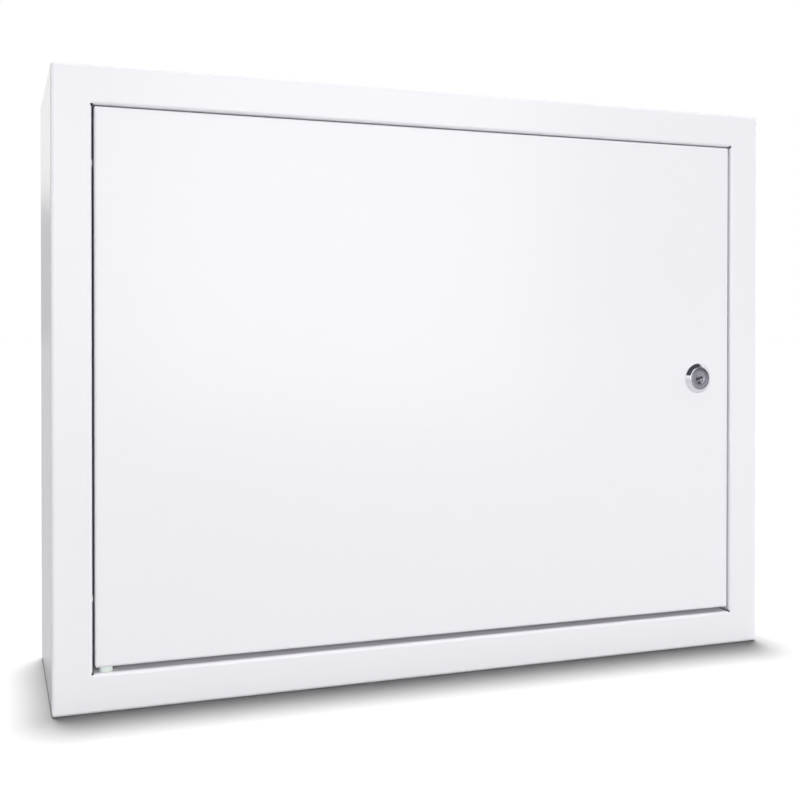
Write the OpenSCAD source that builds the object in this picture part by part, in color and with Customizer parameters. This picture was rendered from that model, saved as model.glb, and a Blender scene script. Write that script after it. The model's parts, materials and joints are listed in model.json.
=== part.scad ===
// Steel wall enclosure: a folded white housing with a flush lockable door, a back panel
// with wall fixings, and a perforated mounting plate.
// x points to the right, y into the wall and z up. The origin is the middle of the back
// panel's rear face, which lies on the wall, so the front border is at y = -box_d.

/* [Housing] */
// Overall width
box_w = 520; // [440:5:640]
// Overall height
box_h = 400; // [340:5:520]
// Overall depth, from the wall to the front border
box_d = 130; // [110:5:200]
// Thickness of the housing's sheet
sheet_t = 1.2; // [1:0.1:1.5]
// Outer radius of the housing's folded edges
bend_r = 2.2; // [1.6:0.1:2.4]
// Radius of the four welded and ground corners, seen from the front
corner_r = 3; // [2.4:0.1:4]
// Width of the front border around the door opening
border_w = 24.5; // [22:0.5:34]
// Depth of the folds that line the door opening
return_d = 20; // [19:0.5:24]
// Width of the strike lip that the lock's cam closes behind
lip_w = 12; // [10:0.5:14]
// Width of the rear folds that carry the back panel
rear_fold_w = 14; // [12:1:18]
// Open slit between two neighbouring folds
fold_slit = 0.8; // [0.5:0.1:1.2]
// Radius of the relief cut into the border at each corner of the opening
relief_r = 0.8; // [0.5:0.1:1.2]

/* [Door] */
// Thickness of the door's sheet
door_t = 1.2; // [1:0.1:1.5]
// Outer radius of the door's folded edges
door_bend_r = 1.8; // [1.6:0.1:1.9]
// Depth of the door's folded edges
door_fold_d = 15; // [13:0.5:15.5]
// Gap at the left and right of the door
door_gap = 1.5; // [1.2:0.1:2]
// Gap above the door
door_gap_top = 0.8; // [0.6:0.1:1.5]
// Gap below the door, which the pivot bush fills
door_gap_bottom = 3.4; // [2:0.1:4]
// Width of the mitre slit at each corner of the door's folds
door_slit = 0.5; // [0.3:0.1:0.8]
// How far the door's face lies behind the border
door_recess = 0.5; // [0.3:0.1:1]
// Length of a rubber buffer on the strike lip
buffer_l = 24; // [12:1:40]
// Distance between the two buffers
buffer_pitch = 240; // [160:10:280]

/* [Hinge] */
// Pivot axis, measured in from the door's hinge edge
pivot_inset = 7; // [6.5:0.1:8]
// Pivot axis, measured back from the door's face
pivot_depth = 5; // [4.8:0.1:5.2]
// Diameter of the pivot pins
pivot_d = 4; // [3.5:0.1:4.5]
// Radial running clearance of the pivots
pivot_play = 0.06; // [0.04:0.01:0.1]
// Outer diameter of a bush's sleeve
bush_d = 6; // [5.6:0.1:6.4]
// Diameter of a bush's collar
bush_collar_d = 8.4; // [7.8:0.1:9]
// How far the upper pin stands above the door, which is its travel when it is pulled down
release_travel = 6; // [4.5:0.5:7]
// Free height between the spring's lower seat and the clip
spring_l = 26; // [24:1:32]
// Outer diameter of the pin's return spring
spring_d = 6.2; // [5.8:0.1:6.6]
// Diameter of the spring's wire
wire_d = 0.7; // [0.5:0.05:0.8]
// Length of the finger arm bent from the upper pin
finger_l = 11; // [9:0.5:12]

/* [Lock] */
// Lock axis, measured in from the door's closing edge
lock_inset = 27; // [24:0.5:29]
// Diameter of the lock's bezel
bezel_d = 22.2; // [21:0.2:24]
// Height of the bezel above the door
bezel_h = 2.5; // [2:0.1:3]
// Diameter of the round face of the plug
plug_face_d = 15.8; // [15:0.1:16.4]
// Diameter of the threaded barrel
barrel_d = 18.6; // [18:0.1:19]
// Width across the barrel's two flats
barrel_flats = 16; // [15.4:0.1:16.6]
// Diameter of the plug inside the barrel
plug_d = 12.4; // [11:0.1:13]
// Width of the key slot
keyway_w = 1.7; // [1.4:0.1:2]
// Height of the key slot
keyway_h = 6.4; // [5.6:0.1:7]
// Angle that the key slot stands away from horizontal
keyway_tilt = 18; // [0:1:30]
// Length of the cam from the lock's axis
cam_reach = 24; // [20:0.5:26]
// Width of the cam
cam_w = 14; // [12:0.5:16]
// Thickness of the cam
cam_t = 2; // [1.5:0.1:2.5]
// Side of the plug's square tail
tail_w = 7; // [6:0.1:7.4]
// Turn of the lock between open and locked
lock_throw = 90; // [80:5:100]

/* [Back panel and wall fixings] */
// Thickness of the back panel
panel_t = 1.2; // [1:0.1:2]
// Distance of the wall holes from the box's sides, top and bottom
wall_hole_inset = 40; // [36:1:44]
// Diameter of the wall holes
wall_hole_d = 9; // [6:0.5:10]
// Distance of the outer studs at the panel's top and bottom from the box's sides
panel_stud_inset_x = 73; // [60:1:90]
// Distance of the studs at the panel's sides from the box's top and bottom
panel_stud_inset_z = 112; // [90:1:120]
// Width of the two knock-outs behind the cables
rear_entry_w = 70; // [50:1:90]
// Height of those knock-outs
rear_entry_h = 22; // [16:1:26]
// Distance of those knock-outs from the middle
rear_entry_x = 104; // [60:1:115]
// Diameter of the welded studs that hold the back panel
panel_stud_d = 4; // [3:0.5:5]
// Length of those studs in front of the panel
panel_stud_l = 9; // [8:0.5:14]

/* [Mounting plate] */
// Distance of the mounting plate from the box's sides, top and bottom
plate_margin = 55; // [52:1:70]
// Thickness of the mounting plate
plate_t = 1.5; // [1:0.1:2.5]
// Height of the spacers behind the plate
spacer_l = 15; // [10:1:30]
// Distance of the plate's fixings from its edges
plate_stud_inset = 15; // [12:1:18]
// Diameter of the plate's studs
plate_stud_d = 6; // [5:0.5:6]
// Distance between the slots across the plate
slot_pitch_x = 34; // [30:1:38]
// Distance between the slots over the plate's height
slot_pitch_z = 26; // [20:1:30]
// Length of a slot
slot_l = 14; // [10:0.5:18]
// Width of a slot
slot_w = 5.2; // [4:0.1:6.4]

/* [Cable entries] */
// Number of cable entries in the top and in the bottom wall
entry_count = 4; // [2:1:5]
// Distance between two cable entries
entry_pitch = 80; // [50:5:90]
// Distance of the cable entries from the wall
entry_from_wall = 45; // [35:1:60]
// Diameter of the holes in the top wall, which hold grommets
grommet_hole_d = 20; // [16:0.5:25]
// Diameter of the knock-outs in the bottom wall
knockout_d = 20.4; // [16:0.2:25]
// Width of the cut around a knock-out
knockout_slit = 0.6; // [0.4:0.1:1]
// Width of the webs that hold a knock-out
knockout_web = 2.2; // [1.5:0.1:3]

/* [Earthing] */
// Distance of the earth stud on the back panel from the box's side
earth_inset = 28; // [26:1:30]
// Height of that stud above the box's bottom
earth_rise = 120; // [100:5:140]
// Diameter of the earth studs
earth_d = 6; // [5:0.5:6]
// Length of the earth stud on the back panel
earth_body_l = 18; // [14:1:24]
// Length of the earth stud on the door
earth_door_l = 14; // [12:1:18]

/* [Hidden] */
$fn = 64;

eps = 0.01;         // cutters run past a face by this
slide_fit = 0.1;    // clearance of a part slid over another
turn_fit = 0.08;    // radial running clearance of the plug in its barrel
hole_fit = 0.25;    // radial clearance of a screw or stud in its hole
seat_gap = 0.1;     // clearance under a part that turns on its seat
rest_gap = 0.2;     // clearance between the door and its buffers
swing_gap = 0.5;    // clearance between the cam and the strike lip

// Where the front, the opening and the door lie
front_y = -box_d;
open_w = box_w - 2 * border_w;
open_h = box_h - 2 * border_w;
door_w = open_w - 2 * door_gap;
door_h = open_h - door_gap_top - door_gap_bottom;
door_left = -open_w / 2 + door_gap;
door_right = open_w / 2 - door_gap;
door_bottom = -open_h / 2 + door_gap_bottom;
door_top = open_h / 2 - door_gap_top;
door_mid_z = (door_top + door_bottom) / 2;
door_face_y = front_y + door_recess;
door_back_y = door_face_y + door_t;
panel_y = -panel_t;

// Hinge
pivot_x = door_left + pivot_inset;
pivot_y = door_face_y + pivot_depth;
pivot_r = pivot_d / 2;
bush_bore_r = pivot_r + pivot_play;
collar_t = 1.5;                       // collar of the upper bush
pin_head_t = 1.8;
pin_head_d = 8;
pin_end = 5;                          // lower pin above the door's fold
clip_t = 0.9;
clip_d = 6.8;
clip_top = door_top - door_t - seat_gap;
spring_top = clip_top - clip_t;
ear_t = 1.5;
ear_top = spring_top - spring_l;
bracket_t = 1.2;
ear_w = 10.8;
ear_d = 7.6;
finger_z = ear_top - ear_t - release_travel - 4;
finger_bend_r = 3;

// Lock
lock_x = door_right - lock_inset;
cam_y = front_y + return_d + swing_gap;
stop_t = 1.2;
barrel_end_y = cam_y - stop_t;
barrel_l = barrel_end_y - door_face_y;
screw_d = 5;
screw_head_d = 9;
screw_head_h = 3.2;
plug_bore_r = plug_d / 2 + turn_fit;
face_depth = 3;                       // depth of the plug's wider face
lock_nut_af = 24;
lock_nut_t = 4;
lock_washer_t = 0.8;
stop_tab_w = 4.4;
stop_lug_t = 1.2;                     // radial width of the barrel's stop lug
stop_tab_angle = asin(stop_tab_w / 2 / (barrel_flats / 2 - stop_lug_t)) + 1;
thread_l = 5;                         // depth of the cam screw's thread
cam_washer_t = 1.2;

// Fasteners
nut4_af = 7;
nut4_h = 3.2;
nut6_af = 10;
nut6_h = 5;
washer6_d = 12;
washer6_t = 1.6;

rear_fold_mid = sheet_t + rear_fold_w / 2;
wall_hole_x = box_w / 2 - wall_hole_inset;
wall_hole_z = box_h / 2 - wall_hole_inset;
plate_w = box_w - 2 * plate_margin;
plate_h = box_h - 2 * plate_margin;
plate_back_y = panel_y - spacer_l;
plate_front_y = plate_back_y - plate_t;
plate_stud_x = plate_w / 2 - plate_stud_inset;
plate_stud_z = plate_h / 2 - plate_stud_inset;
buffer_t = return_d - sheet_t - door_recess - door_fold_d - rest_gap;
buffer_w = 9;
earth_body_x = -box_w / 2 + earth_inset;
earth_body_z = -box_h / 2 + earth_rise;
earth_door_x = door_left + 36;
earth_door_z = door_bottom + 40;

// Colours
paint = [0.94, 0.94, 0.95];
zinc = [0.72, 0.74, 0.76];
chrome = [0.8, 0.8, 0.82];
nylon = [0.9, 0.92, 0.86];
rubber = [0.12, 0.12, 0.13];
brass = [0.8, 0.66, 0.36];
dark_steel = [0.45, 0.46, 0.48];

// ---- Shared shapes ----

// A rectangle with round corners, its arcs kept true
module round_rect(w, h, r) {
    square([w - 2 * r, h], center = true);
    square([w, h - 2 * r], center = true);
    for (sx = [-1, 1], sy = [-1, 1])
        translate([sx * (w / 2 - r), sy * (h / 2 - r)]) circle(r);
}

// The section of a tray from its front at y = 0 to y = d, round at the two front corners
module tray_section(w, d, r) {
    translate([-w / 2, r]) square([w, d - r]);
    translate([-w / 2 + r, 0]) square([w - 2 * r, 2 * r]);
    for (sx = [-1, 1]) translate([sx * (w / 2 - r), r]) circle(r);
}

// Extrudes a front-view outline from y = 0 back to y = d
module from_front(d) {
    translate([0, d, 0]) rotate([90, 0, 0]) linear_extrude(d) children();
}

// Turns a profile of radius and depth around the y axis
module turned_y() {
    rotate([-90, 0, 0]) rotate_extrude() children();
}

// A block with every edge round, and its own radius at the four corners, from y = 0 to y = d
module round_block(w, d, h, r, corner) {
    intersection() {
        translate([0, d / 2, 0]) linear_extrude(h, center = true) round_rect(w, d, r);
        translate([0, d / 2, 0]) rotate([0, 90, 0]) linear_extrude(w, center = true) round_rect(h, d, r);
        from_front(d) round_rect(w, h, corner);
    }
}

// A tray-shaped block, round at the front and at the four corners, from y = 0 to y = d
module tray_block(w, d, h, r) {
    intersection() {
        linear_extrude(h, center = true) tray_section(w, d, r);
        rotate([0, 90, 0]) linear_extrude(w, center = true) tray_section(h, d, r);
        from_front(d) round_rect(w, h, r);
    }
}

// What is cut from a square edge along x to make it round, the metal lying at +y and -z
module edge_cut(l, r) {
    difference() {
        translate([-l / 2, -eps, -r]) cube([l, r + eps, r + eps]);
        translate([0, r, -r]) rotate([0, 90, 0]) cylinder(r = r, h = l + 2, center = true);
    }
}

module stud(d, l) {
    tip = 0.6;
    rotate([90, 0, 0]) {
        cylinder(d = d, h = l - tip);
        translate([0, 0, l - tip]) cylinder(d1 = d, d2 = d - 2 * tip, h = tip);
    }
}

// A hexagon nut that stands forward from y = 0, its front corners chamfered
module hex_nut(af, h, bore_d) {
    chamfer_r = af / 2 * 0.96;
    rotate([90, 0, 0]) difference() {
        intersection() {
            cylinder(d = af / cos(30), h = h, $fn = 6);
            cylinder(r1 = chamfer_r + h / tan(30), r2 = chamfer_r, h = h);
        }
        translate([0, 0, -eps]) cylinder(d = bore_d, h = h + 2 * eps);
    }
}

// A flat washer that stands forward from y = 0
module washer(d, bore_d, t) {
    translate([0, -t, 0]) from_front(t) difference() {
        circle(d = d);
        circle(d = bore_d);
    }
}

// Repeats its children at the four corners of a rectangle
module at_corners(dx, dz) {
    for (sx = [-1, 1], sz = [-1, 1]) translate([sx * dx, 0, sz * dz]) children();
}

// Repeats its children at the studs that hold the back panel
module at_panel_studs() {
    for (i = [-1 : 1], s = [-1, 1])
        translate([i * (box_w / 2 - panel_stud_inset_x), 0, s * (box_h / 2 - rear_fold_mid)]) children();
    for (s = [-1, 1], k = [-1, 1])
        translate([s * (box_w / 2 - rear_fold_mid), 0, k * (box_h / 2 - panel_stud_inset_z)]) children();
}

// Repeats its children along the row of cable entries
module at_entries() {
    for (i = [0 : entry_count - 1])
        translate([(i - (entry_count - 1) / 2) * entry_pitch, -entry_from_wall, 0]) children();
}

// ---- Housing ----

// Closed sheet box, before its front opening and rear window are cut
module sheet_box() {
    d = box_d - panel_t;
    difference() {
        translate([0, front_y, 0]) round_block(box_w, d, box_h, bend_r, corner_r);
        translate([0, front_y + sheet_t, 0])
            round_block(box_w - 2 * sheet_t, d - 2 * sheet_t, box_h - 2 * sheet_t,
                        bend_r - sheet_t, corner_r - sheet_t);
    }
}

// The four folds that line the opening, and the strike lip on the lock side
module opening_folds() {
    long_x = open_w - 2 * fold_slit;
    long_z = open_h - 2 * fold_slit;
    for (s = [-1, 1]) {
        translate([-long_x / 2, front_y, s > 0 ? open_h / 2 : -open_h / 2 - sheet_t])
            cube([long_x, return_d, sheet_t]);
        translate([s > 0 ? open_w / 2 : -open_w / 2 - sheet_t, front_y, -long_z / 2])
            cube([sheet_t, return_d, long_z]);
    }
    translate([open_w / 2 - lip_w, front_y + return_d - sheet_t, -long_z / 2 + sheet_t])
        cube([lip_w + sheet_t, sheet_t, long_z - 2 * sheet_t]);
}

// Rounds the border where it turns into the folds
module opening_edges() {
    for (a = [0, 180])
        rotate([0, a, 0]) translate([0, front_y, -open_h / 2]) edge_cut(open_w, bend_r);
    for (a = [90, 270])
        rotate([0, a, 0]) translate([0, front_y, -open_w / 2]) edge_cut(open_h, bend_r);
}

// The cut around one knock-out in the bottom wall, left open at two webs
module knockout_cut() {
    r = knockout_d / 2;
    translate([0, 0, -box_h / 2 - eps]) linear_extrude(sheet_t + 2 * eps) difference() {
        circle(r + knockout_slit / 2);
        circle(r - knockout_slit / 2);
        square([knockout_web, knockout_d + 4], center = true);
    }
}

module housing() {
    window_w = box_w - 2 * (sheet_t + rear_fold_w);
    window_h = box_h - 2 * (sheet_t + rear_fold_w);
    color(paint) difference() {
        union() {
            difference() {
                sheet_box();
                translate([-open_w / 2, front_y - eps, -open_h / 2])
                    cube([open_w, sheet_t + 1, open_h]);
                translate([-window_w / 2, panel_y - sheet_t - 1, -window_h / 2])
                    cube([window_w, sheet_t + 2, window_h]);
            }
            opening_folds();
        }
        opening_edges();
        at_corners(open_w / 2, open_h / 2) translate([0, front_y - eps, 0])
            rotate([-90, 0, 0]) cylinder(r = relief_r, h = return_d + 2 * eps);
        // Seats of the two pivots
        translate([pivot_x, pivot_y, -open_h / 2 - sheet_t - eps])
            cylinder(r = pivot_r + slide_fit / 2, h = sheet_t + 2 * eps);
        translate([pivot_x, pivot_y, open_h / 2 - eps])
            cylinder(d = bush_d + slide_fit, h = sheet_t + 2 * eps);
        // Holes over the back panel's studs
        at_panel_studs() translate([0, panel_y + eps, 0])
            rotate([90, 0, 0]) cylinder(r = panel_stud_d / 2 + hole_fit, h = sheet_t + 2 * eps);
        // Cable entries
        at_entries() {
            translate([0, 0, box_h / 2 - sheet_t - eps])
                cylinder(d = grommet_hole_d, h = sheet_t + 2 * eps);
            knockout_cut();
        }
    }
}

module door_buffers() {
    color(rubber) for (s = [-1, 1])
        translate([open_w / 2 - buffer_w - 0.4, front_y + return_d - sheet_t - buffer_t,
                   s * buffer_pitch / 2 - buffer_l / 2])
            cube([buffer_w, buffer_t, buffer_l]);
}

// ---- Back panel ----

module back_panel() {
    edge = 1;
    color(paint) translate([0, panel_y, 0]) difference() {
        from_front(panel_t) round_rect(box_w - 2 * edge, box_h - 2 * edge, corner_r - edge);
        at_corners(wall_hole_x, wall_hole_z)
            translate([0, -eps, 0]) rotate([-90, 0, 0]) cylinder(d = wall_hole_d, h = panel_t + 2 * eps);
        for (s = [-1, 1]) translate([s * rear_entry_x, -eps, -plate_h / 2 - rear_entry_h])
            from_front(panel_t + 2 * eps) rear_entry_cut();
    }
}

// The cut around a rectangular knock-out for cables out of the wall
module rear_entry_cut() {
    corner = 3;
    difference() {
        round_rect(rear_entry_w, rear_entry_h, corner);
        round_rect(rear_entry_w - 2 * knockout_slit, rear_entry_h - 2 * knockout_slit,
                   corner - knockout_slit);
        square([rear_entry_w + 4, knockout_web], center = true);
    }
}

module back_panel_studs() {
    color(brass) at_panel_studs() translate([0, panel_y, 0]) stud(panel_stud_d, panel_stud_l);
}

module back_panel_nuts() {
    flange_d = 9;
    flange_t = 0.9;
    color(zinc) at_panel_studs() translate([0, panel_y - sheet_t, 0]) difference() {
        union() {
            washer(flange_d, panel_stud_d, flange_t);
            translate([0, -flange_t, 0]) hex_nut(nut4_af, nut4_h, panel_stud_d);
        }
        rotate([90, 0, 0]) cylinder(r = panel_stud_d / 2 + 0.05, h = nut4_h + 4);
    }
}

// ---- Mounting plate ----

module plate_slots() {
    nx = floor((plate_w - 2 * plate_stud_inset - slot_l - 10) / slot_pitch_x / 2);
    nz = floor((plate_h - 2 * plate_stud_inset - slot_w) / slot_pitch_z / 2);
    for (i = [-nx : nx], k = [-nz : nz]) translate([i * slot_pitch_x, k * slot_pitch_z]) {
        square([slot_l - slot_w, slot_w], center = true);
        for (s = [-1, 1]) translate([s * (slot_l - slot_w) / 2, 0]) circle(d = slot_w, $fn = 24);
    }
}

module mounting_plate() {
    corner = 8;
    color(zinc) translate([0, plate_front_y, 0]) from_front(plate_t) difference() {
        round_rect(plate_w, plate_h, corner);
        plate_slots();
        for (sx = [-1, 1], sz = [-1, 1])
            translate([sx * plate_stud_x, sz * plate_stud_z]) circle(r = plate_stud_d / 2 + hole_fit);
    }
}

module plate_studs() {
    over = washer6_t + nut6_h + 4;
    color(zinc) at_corners(plate_stud_x, plate_stud_z)
        translate([0, panel_y, 0]) stud(plate_stud_d, spacer_l + plate_t + over);
}

module plate_spacers() {
    color(zinc) at_corners(plate_stud_x, plate_stud_z)
        translate([0, panel_y, 0]) washer(washer6_d, plate_stud_d + 2 * slide_fit, spacer_l);
}

module plate_washers() {
    color(zinc) at_corners(plate_stud_x, plate_stud_z)
        translate([0, plate_front_y, 0]) washer(washer6_d, plate_stud_d + 2 * slide_fit, washer6_t);
}

module plate_nuts() {
    color(zinc) at_corners(plate_stud_x, plate_stud_z)
        translate([0, plate_front_y - washer6_t, 0]) hex_nut(nut6_af, nut6_h, plate_stud_d + slide_fit);
}

// ---- Cable grommets ----

module cable_grommets() {
    r = grommet_hole_d / 2;
    brim = 2.4;
    outer_t = 2;
    inner_t = 2.2;
    neck = r - 0.05;
    membrane = 1;
    color(rubber) at_entries() translate([0, 0, box_h / 2]) rotate_extrude()
        polygon([
            [0, -0.5], [r - 3.4, -0.5], [r - 2, outer_t], [r + brim - 0.8, outer_t],
            [r + brim, outer_t - 0.8], [r + brim, 0], [neck, 0], [neck, -sheet_t],
            [r + brim - 1, -sheet_t], [r + brim - 1.6, -sheet_t - inner_t],
            [r - 3, -sheet_t - inner_t], [r - 3.6, -0.5 - membrane], [0, -0.5 - membrane]
        ]);
}

// ---- Earthing ----

module earth_washer() {
    washer(washer6_d, earth_d + 2 * slide_fit, washer6_t);
}

module earth_nut() {
    hex_nut(nut6_af, nut6_h, earth_d + slide_fit);
}

module body_earth_stud() {
    color(brass) translate([earth_body_x, panel_y, earth_body_z]) stud(earth_d, earth_body_l);
}

module body_earth_washers() {
    color(zinc) translate([earth_body_x, panel_y, earth_body_z]) {
        earth_washer();
        translate([0, -washer6_t - nut6_h, 0]) earth_washer();
    }
}

module body_earth_nuts() {
    color(zinc) translate([earth_body_x, panel_y, earth_body_z]) {
        translate([0, -washer6_t, 0]) earth_nut();
        translate([0, -2 * washer6_t - nut6_h, 0]) earth_nut();
    }
}

// The door's earthing stands back into the box, so it is turned round
module on_door_back() {
    translate([earth_door_x, door_back_y, earth_door_z]) rotate([0, 0, 180]) children();
}

module door_earth_stud() {
    color(brass) on_door_back() stud(earth_d, earth_door_l);
}

module door_earth_washers() {
    color(zinc) on_door_back() earth_washer();
}

module door_earth_nuts() {
    color(zinc) on_door_back() translate([0, -washer6_t, 0]) earth_nut();
}

// ---- Door ----

// The barrel's outline: round with two flats, which keep it from turning in the door
module barrel_outline(grow) {
    intersection() {
        circle(d = barrel_d + 2 * grow);
        square([barrel_d + 4, barrel_flats + 2 * grow], center = true);
    }
}

module door_panel() {
    color(paint) difference() {
        translate([0, door_face_y, door_mid_z]) difference() {
            tray_block(door_w, door_fold_d, door_h, door_bend_r);
            translate([0, door_t, 0])
                tray_block(door_w - 2 * door_t, door_fold_d, door_h - 2 * door_t, door_bend_r - door_t);
            // Slits where two neighbouring folds meet
            for (sx = [-1, 1], sz = [-1, 1])
                translate([sx * door_w / 2, 2 * door_bend_r, sz * door_h / 2])
                    rotate([0, -45 * sx * sz, 0]) translate([-3 * door_t, 0, -door_slit / 2])
                        cube([6 * door_t, door_fold_d, door_slit]);
        }
        translate([lock_x, door_face_y - eps, door_mid_z])
            from_front(door_t + 1) barrel_outline(slide_fit);
        for (z = [door_bottom, door_top - door_t]) translate([pivot_x, pivot_y, z - eps])
            cylinder(d = z > 0 ? pivot_d + 2 * slide_fit : bush_d + slide_fit, h = door_t + 2 * eps);
    }
}

// ---- Hinge ----

module lower_pivot_pin() {
    seat = -open_h / 2;
    top = door_bottom + door_t + pin_end;
    tip = 1;
    color(dark_steel) translate([pivot_x, pivot_y, seat - sheet_t]) {
        translate([0, 0, -pin_head_t]) cylinder(d = pin_head_d, h = pin_head_t);
        cylinder(r = pivot_r, h = top - tip - seat + sheet_t);
        translate([0, 0, top - tip - seat + sheet_t]) cylinder(r1 = pivot_r, r2 = pivot_r - tip / 2, h = tip);
    }
}

module lower_pivot_bush() {
    seat = -open_h / 2 + seat_gap;
    sleeve = door_t + 1;
    color(nylon) translate([pivot_x, pivot_y, seat]) difference() {
        union() {
            cylinder(d = bush_collar_d, h = door_bottom - seat);
            cylinder(d = bush_d, h = door_bottom - seat + sleeve);
        }
        translate([0, 0, -eps]) cylinder(r = bush_bore_r, h = door_gap_bottom + sleeve + 1);
    }
}

module upper_pivot_bush() {
    color(nylon) translate([pivot_x, pivot_y, open_h / 2]) difference() {
        union() {
            cylinder(d = bush_d, h = sheet_t + collar_t);
            translate([0, 0, sheet_t]) cylinder(d = bush_collar_d, h = collar_t);
        }
        translate([0, 0, -eps]) cylinder(r = bush_bore_r, h = sheet_t + collar_t + 2 * eps);
    }
}

// An angle welded inside the door's hinge-side fold, whose ear guides the pin and seats its spring
module upper_pivot_bracket() {
    web_x = door_left + door_t;
    web_h = 20;
    ear_y = door_back_y + door_bend_r - door_t + slide_fit;
    color(zinc) difference() {
        union() {
            translate([web_x, ear_y, ear_top - ear_t]) cube([bracket_t, ear_d + 3, web_h]);
            translate([web_x, ear_y, ear_top - ear_t]) cube([ear_w, ear_d, ear_t]);
        }
        translate([pivot_x, pivot_y, ear_top - ear_t - eps])
            cylinder(r = pivot_r + slide_fit, h = ear_t + 2 * eps);
    }
}

// The upper pin, bent at its lower end into a finger arm
module upper_pivot_pin() {
    top = door_top + release_travel;
    tip = 1;
    color(zinc) translate([pivot_x, pivot_y, 0]) {
        translate([0, 0, finger_z + finger_bend_r])
            cylinder(r = pivot_r, h = top - tip - finger_z - finger_bend_r);
        translate([0, 0, top - tip]) cylinder(r1 = pivot_r, r2 = pivot_r - tip / 2, h = tip);
        translate([finger_bend_r, 0, finger_z + finger_bend_r]) rotate([90, 0, 0])
            rotate([0, 0, 180]) rotate_extrude(angle = 90) translate([finger_bend_r, 0]) circle(pivot_r);
        translate([finger_bend_r, 0, finger_z]) rotate([0, 90, 0])
            cylinder(r = pivot_r, h = finger_l - finger_bend_r);
    }
}

module upper_pivot_clip() {
    color(dark_steel) translate([pivot_x, pivot_y, clip_top - clip_t]) difference() {
        cylinder(d = clip_d, h = clip_t);
        translate([0, 0, -eps]) cylinder(r = pivot_r + 0.02, h = clip_t + 2 * eps);
    }
}

// Compression spring: closed end turns and an even pitch between them
coil_turns = 9;
coil_steps = 16;
wire_sides = 6;
coil_r = (spring_d - wire_d) / 2;
coil_height = spring_l - wire_d - 2 * seat_gap;
end_rise = wire_d * 1.1;
function coil_z(turn) =
    turn < 1 ? turn * end_rise
    : turn > coil_turns - 1 ? coil_height - (coil_turns - turn) * end_rise
    : end_rise + (turn - 1) * (coil_height - 2 * end_rise) / (coil_turns - 2);
function wire_ring(turn) = let (a = 360 * turn)
    [for (s = [0 : wire_sides - 1]) let (b = 360 * s / wire_sides, r = coil_r + wire_d / 2 * cos(b))
        [r * cos(a), r * sin(a), coil_z(turn) + wire_d / 2 * sin(b)]];

module upper_pivot_spring() {
    rings = coil_turns * coil_steps;
    points = [for (i = [0 : rings]) each wire_ring(i / coil_steps)];
    sides = [for (i = [0 : rings - 1], s = [0 : wire_sides - 1])
        let (a = i * wire_sides + s, b = i * wire_sides + (s + 1) % wire_sides)
        each [[a, b, b + wire_sides], [a, b + wire_sides, a + wire_sides]]];
    start = [[for (s = [wire_sides - 1 : -1 : 0]) s]];
    finish = [[for (s = [0 : wire_sides - 1]) rings * wire_sides + s]];
    color(dark_steel) translate([pivot_x, pivot_y, ear_top + wire_d / 2 + seat_gap])
        polyhedron(points, concat(sides, start, finish));
}

// ---- Lock ----

// Barrel with its bezel, and behind it the lug that the stop washer turns against
module lock_barrel() {
    bezel_rim = 0.5;
    mouth_r = plug_face_d / 2 + turn_fit;
    color(chrome) translate([lock_x, door_face_y, door_mid_z]) {
        difference() {
            union() {
                turned_y() polygon([
                    [0, 0], [bezel_d / 2, 0], [bezel_d / 2, -bezel_rim], [mouth_r + 0.3, -bezel_h],
                    [0, -bezel_h]
                ]);
                from_front(barrel_l) barrel_outline(0);
            }
            translate([0, -bezel_h - 1, 0]) rotate([-90, 0, 0])
                cylinder(r = mouth_r, h = bezel_h + 1 + face_depth);
            rotate([-90, 0, 0]) cylinder(r = plug_bore_r, h = barrel_l + 1);
        }
        translate([0, barrel_l, 0]) rotate([-90, 0, 0])
            rotate([0, 0, lock_throw + stop_tab_angle])
                rotate_extrude(angle = 360 - lock_throw - 2 * stop_tab_angle)
                    translate([barrel_flats / 2 - stop_lug_t, 0]) square([stop_lug_t, stop_t - seat_gap]);
    }
}

module lock_washer() {
    teeth = 18;
    color(zinc) translate([lock_x, door_back_y, door_mid_z]) from_front(lock_washer_t) difference() {
        circle(r = barrel_d / 2 + 3.4);
        circle(r = barrel_d / 2 + slide_fit);
        for (i = [0 : teeth - 1]) rotate(i * 360 / teeth)
            translate([barrel_d / 2 + 2.6, -0.5]) square([2, 1]);
    }
}

module lock_nut() {
    color(zinc) translate([lock_x, door_back_y + lock_washer_t, door_mid_z]) rotate([0, 0, 180])
        hex_nut(lock_nut_af, lock_nut_t, barrel_d + slide_fit);
}

module lock_plug() {
    face_y = -bezel_h + 0.25;
    dish_r = 3.8;
    dish_depth = 0.9;
    tail_end = cam_y + cam_t - door_face_y;
    color(chrome) translate([lock_x, door_face_y, door_mid_z]) difference() {
        union() {
            translate([0, face_y, 0]) rotate([-90, 0, 0])
                cylinder(d = plug_face_d, h = face_depth - seat_gap - face_y);
            rotate([-90, 0, 0]) cylinder(d = plug_d, h = barrel_l);
            from_front(tail_end) square(tail_w, center = true);
        }
        // Dish around the key slot
        translate([0, face_y - eps, 0]) rotate([-90, 0, 0])
            cylinder(r1 = dish_r, r2 = dish_r - 1.6, h = dish_depth);
        rotate([0, -keyway_tilt, 0]) translate([-keyway_h / 2, face_y, -keyway_w / 2])
            cube([keyway_h, tail_end - thread_l - face_y - 1, keyway_w]);
        // Thread for the cam's screw
        translate([0, tail_end + eps, 0]) rotate([90, 0, 0]) cylinder(d = screw_d + 0.1, h = thread_l);
    }
}

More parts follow.
